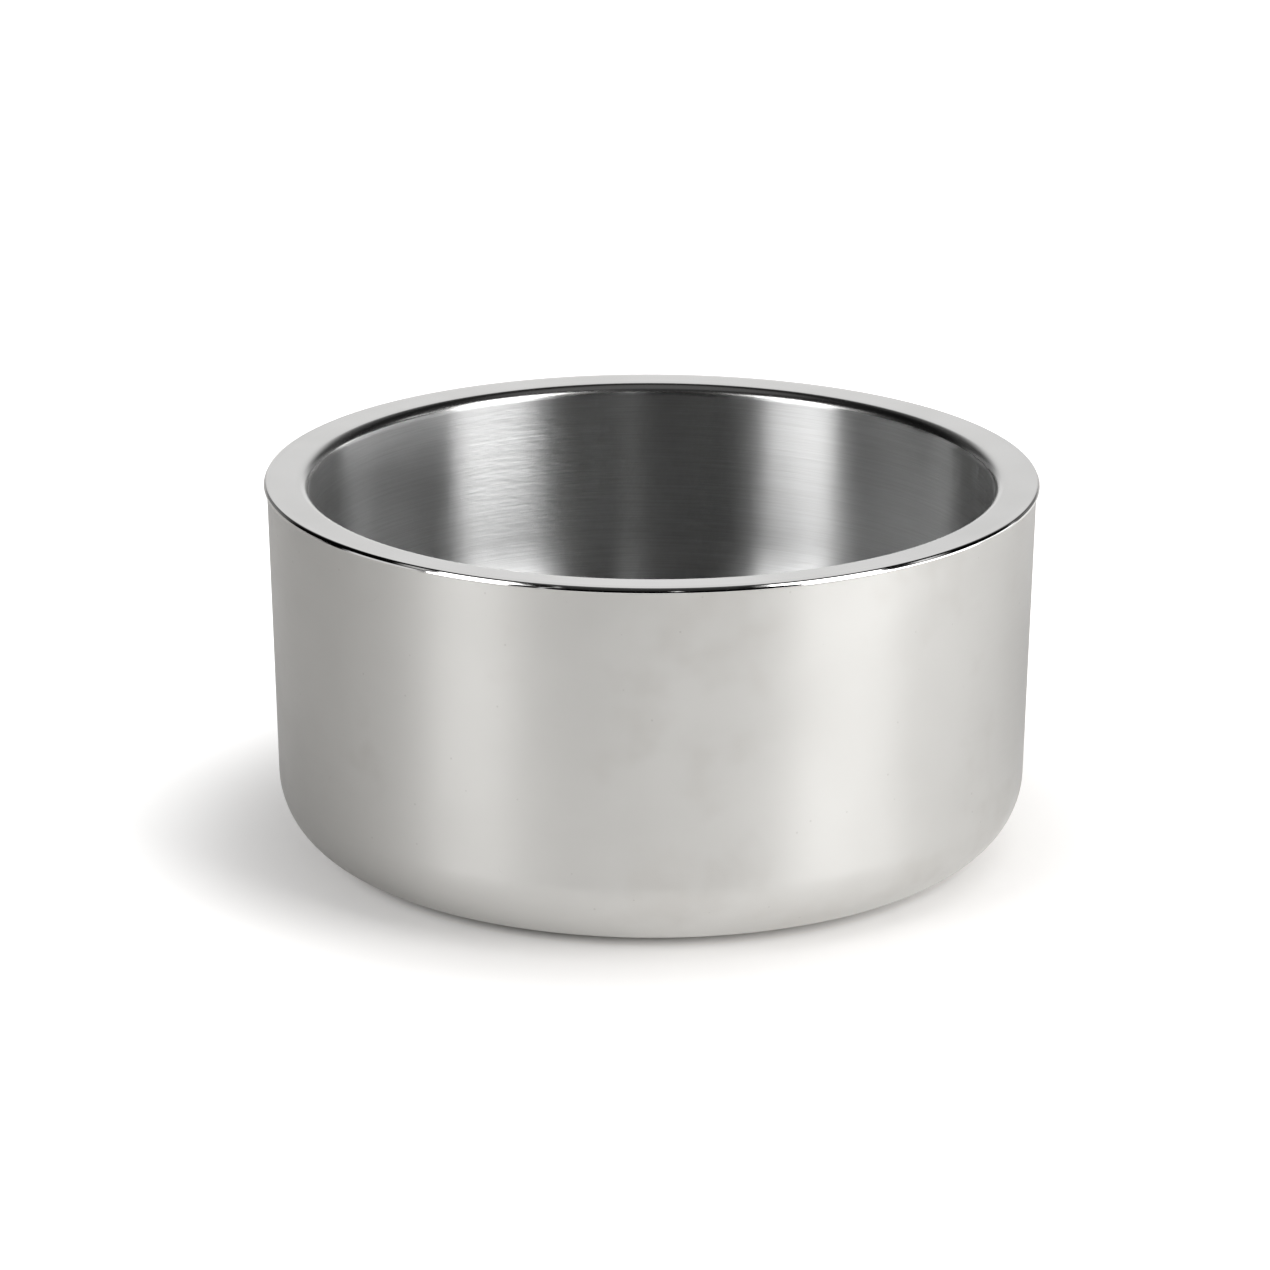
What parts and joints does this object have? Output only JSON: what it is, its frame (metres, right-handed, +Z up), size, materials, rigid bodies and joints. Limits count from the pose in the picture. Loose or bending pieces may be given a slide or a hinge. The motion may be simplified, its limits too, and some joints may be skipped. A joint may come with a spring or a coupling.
{
  "type": "pet food bowl",
  "caption": "Round double-wall steel bowl with straight sides, a broad polished rim, a rounded heel and a non-slip ring underneath; holds a pet's food or water.",
  "frame": {"origin": "on the floor, under the middle of the bowl", "axes": "+Z up along the bowl's axis of revolution; X and Y are alike, because the bowl is round"},
  "size_m": [0.196, 0.196, 0.096],
  "materials": {
    "satin_steel": "fine satin, brushed round the bowl",
    "brushed_steel": "brushed round the inside, mirror polished on the rim",
    "polished_steel": "ground and mirror polished",
    "black_silicone": "matte moulded",
    "clear_adhesive": "thin cured film",
    "grey_silicone": "matte moulded"
  },
  "bodies": {
    "root": {"outer_shell": "satin_steel", "inner_bowl": "brushed_steel", "rim_weld": "polished_steel", "foot_ring": "black_silicone", "foot_bond": "clear_adhesive", "vent_plug": "grey_silicone"}
  },
  "joints": []
}
